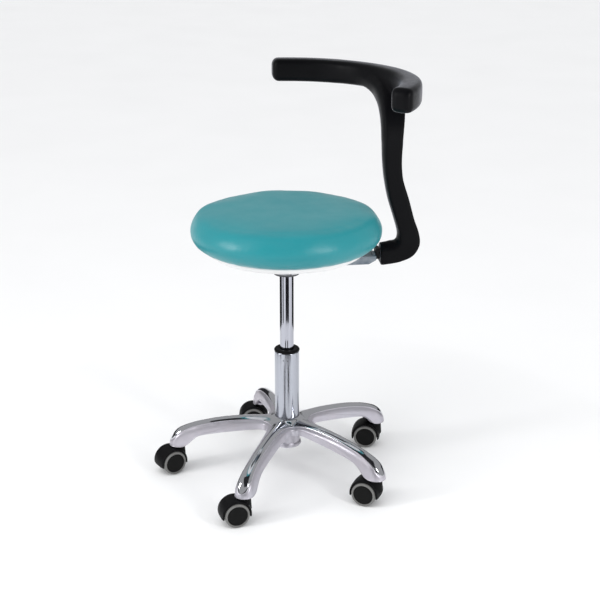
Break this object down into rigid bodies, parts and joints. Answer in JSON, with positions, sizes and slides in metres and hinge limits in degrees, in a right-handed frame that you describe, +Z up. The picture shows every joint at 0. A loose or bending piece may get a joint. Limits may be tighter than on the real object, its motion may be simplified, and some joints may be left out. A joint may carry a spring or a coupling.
{
  "type": "dentist stool",
  "caption": "Dentist stool: round padded seat on a gas lift, polished star base on twin-wheel casters, and a swinging black body support arm.",
  "frame": {"origin": "on the floor, at the middle of the stool's outline at rest; the column's axis stands at X = 0.009, Y = -0.004", "axes": "+Z up; -Y is the side seen from the front, +X is the side the body support arm stands on at rest"},
  "size_m": [0.5489, 0.5066, 0.8305],
  "materials": {
    "polished_aluminium": "polished, thin casting",
    "chrome": "bright",
    "black_plastic": "fine satin",
    "support_black": "soft satin with fine grain",
    "grey_tread": "smooth soft tread",
    "black_rubber": "matt",
    "teal_leatherette": "fine grain, semi-gloss",
    "white_plastic": "smooth",
    "plywood": "raw",
    "black_steel": "powder coat",
    "bracket_steel": "bright zinc with a blue cast",
    "zinc_steel": "zinc plated"
  },
  "bodies": {
    "base": {"base_star": "polished_aluminium", "column_tube": "chrome", "guide_bush": "black_plastic", "thrust_bearing": "zinc_steel", "rubber_bumper": "black_rubber", "caster_right_stem": "zinc_steel", "caster_back_stem": "zinc_steel", "caster_left_stem": "zinc_steel", "caster_front_left_stem": "zinc_steel", "caster_front_right_stem": "zinc_steel"},
    "lift_rod": {"piston_rod": "chrome", "piston": "black_plastic", "retaining_clip": "zinc_steel"},
    "seat": {"gas_cylinder": "chrome", "seat_plate": "black_steel", "seat_board": "plywood", "seat_pan": "white_plastic", "seat_cushion": "teal_leatherette", "seat_bolt_1": "zinc_steel", "seat_bolt_2": "zinc_steel", "seat_bolt_3": "zinc_steel", "seat_bolt_4": "zinc_steel", "arm_ring_clip": "zinc_steel"},
    "valve": {"valve_pin": "zinc_steel"},
    "lever": {"release_lever": "zinc_steel", "lever_grip": "black_plastic"},
    "support_arm": {"arm_bracket": "bracket_steel", "pivot_bush": "black_plastic", "arm_bolt": "zinc_steel", "body_support": "support_black"},
    "caster_right": {"caster_right_hood": "black_plastic", "caster_right_axle": "zinc_steel"},
    "caster_right_roller_a": {"caster_right_wheel_a": "black_plastic", "caster_right_tread_a": "grey_tread"},
    "caster_right_roller_b": {"caster_right_wheel_b": "black_plastic", "caster_right_tread_b": "grey_tread"},
    "caster_back": {"caster_back_hood": "black_plastic", "caster_back_axle": "zinc_steel"},
    "caster_back_roller_a": {"caster_back_wheel_a": "black_plastic", "caster_back_tread_a": "grey_tread"},
    "caster_back_roller_b": {"caster_back_wheel_b": "black_plastic", "caster_back_tread_b": "grey_tread"},
    "caster_left": {"caster_left_hood": "black_plastic", "caster_left_axle": "zinc_steel"},
    "caster_left_roller_a": {"caster_left_wheel_a": "black_plastic", "caster_left_tread_a": "grey_tread"},
    "caster_left_roller_b": {"caster_left_wheel_b": "black_plastic", "caster_left_tread_b": "grey_tread"},
    "caster_front_left": {"caster_front_left_hood": "black_plastic", "caster_front_left_axle": "zinc_steel"},
    "caster_front_left_roller_a": {"caster_front_left_wheel_a": "black_plastic", "caster_front_left_tread_a": "grey_tread"},
    "caster_front_left_roller_b": {"caster_front_left_wheel_b": "black_plastic", "caster_front_left_tread_b": "grey_tread"},
    "caster_front_right": {"caster_front_right_hood": "black_plastic", "caster_front_right_axle": "zinc_steel"},
    "caster_front_right_roller_a": {"caster_front_right_wheel_a": "black_plastic", "caster_front_right_tread_a": "grey_tread"},
    "caster_front_right_roller_b": {"caster_front_right_wheel_b": "black_plastic", "caster_front_right_tread_b": "grey_tread"}
  },
  "joints": [
    {"name": "seat_swivel", "type": "hinge", "parent": "base", "child": "lift_rod", "pos_m": [0.009, -0.004, 0.3], "axis": [0, 0, 1], "continuous": true},
    {"name": "seat_height", "type": "slide", "parent": "lift_rod", "child": "seat", "axis": [0, 0, 1], "range_m": [-0.14, 0]},
    {"name": "lever_lift", "type": "hinge", "parent": "seat", "child": "lever", "pos_m": [-0.0045, 0.01209, 0.4678], "axis": [0.766, 0.6428, 0], "range_deg": [0, 5], "stiffness_Nm_per_rad": 2},
    {"name": "valve_press", "type": "slide", "parent": "seat", "child": "valve", "axis": [0, 0, 1], "range_m": [-0.002, 0]},
    {"name": "support_swing", "type": "hinge", "parent": "seat", "child": "support_arm", "pos_m": [0.009, -0.004, 0.46], "axis": [0, 0, 1], "range_deg": [-150, 85]},
    {"name": "caster_right_swivel", "type": "hinge", "parent": "base", "child": "caster_right", "pos_m": [0.20192, 0.11938, 0.045], "axis": [0, 0, 1], "continuous": true},
    {"name": "caster_right_roll_a", "type": "hinge", "parent": "caster_right", "child": "caster_right_roller_a", "pos_m": [0.18212, 0.12216, 0.025], "axis": [-0.1392, -0.9903, 0], "continuous": true},
    {"name": "caster_right_roll_b", "type": "hinge", "parent": "caster_right", "child": "caster_right_roller_b", "pos_m": [0.18212, 0.12216, 0.025], "axis": [-0.1392, -0.9903, 0], "continuous": true},
    {"name": "caster_back_swivel", "type": "hinge", "parent": "base", "child": "caster_back", "pos_m": [-0.04872, 0.2176, 0.045], "axis": [0, 0, 1], "continuous": true},
    {"name": "caster_back_roll_a", "type": "hinge", "parent": "caster_back", "child": "caster_back_roller_a", "pos_m": [-0.06865, 0.21586, 0.025], "axis": [0.0872, -0.9962, 0], "continuous": true},
    {"name": "caster_back_roll_b", "type": "hinge", "parent": "caster_back", "child": "caster_back_roller_b", "pos_m": [-0.06865, 0.21586, 0.025], "axis": [0.0872, -0.9962, 0], "continuous": true},
    {"name": "caster_left_swivel", "type": "hinge", "parent": "base", "child": "caster_left", "pos_m": [-0.2196, 0.00958, 0.045], "axis": [0, 0, 1], "continuous": true},
    {"name": "caster_left_roll_a", "type": "hinge", "parent": "caster_left", "child": "caster_left_roller_a", "pos_m": [-0.23656, -0.00102, 0.025], "axis": [0.5299, -0.848, 0], "continuous": true},
    {"name": "caster_left_roll_b", "type": "hinge", "parent": "caster_left", "child": "caster_left_roller_b", "pos_m": [-0.23656, -0.00102, 0.025], "axis": [0.5299, -0.848, 0], "continuous": true},
    {"name": "caster_front_left_swivel", "type": "hinge", "parent": "base", "child": "caster_front_left", "pos_m": [-0.07456, -0.21721, 0.045], "axis": [0, 0, 1], "continuous": true},
    {"name": "caster_front_left_roll_a", "type": "hinge", "parent": "caster_front_left", "child": "caster_front_left_roller_a", "pos_m": [-0.09358, -0.22339, 0.025], "axis": [0.309, -0.9511, 0], "continuous": true},
    {"name": "caster_front_left_roll_b", "type": "hinge", "parent": "caster_front_left", "child": "caster_front_left_roller_b", "pos_m": [-0.09358, -0.22339, 0.025], "axis": [0.309, -0.9511, 0], "continuous": true},
    {"name": "caster_front_right_swivel", "type": "hinge", "parent": "base", "child": "caster_front_right", "pos_m": [0.18596, -0.14935, 0.045], "axis": [0, 0, 1], "continuous": true},
    {"name": "caster_front_right_roll_a", "type": "hinge", "parent": "caster_front_right", "child": "caster_front_right_roller_a", "pos_m": [0.16741, -0.14186, 0.025], "axis": [-0.3746, -0.9272, 0], "continuous": true},
    {"name": "caster_front_right_roll_b", "type": "hinge", "parent": "caster_front_right", "child": "caster_front_right_roller_b", "pos_m": [0.16741, -0.14186, 0.025], "axis": [-0.3746, -0.9272, 0], "continuous": true}
  ],
  "couplings": [
    {"joint": "valve_press", "follows": "lever_lift", "m_per_rad": -0.021}
  ]
}
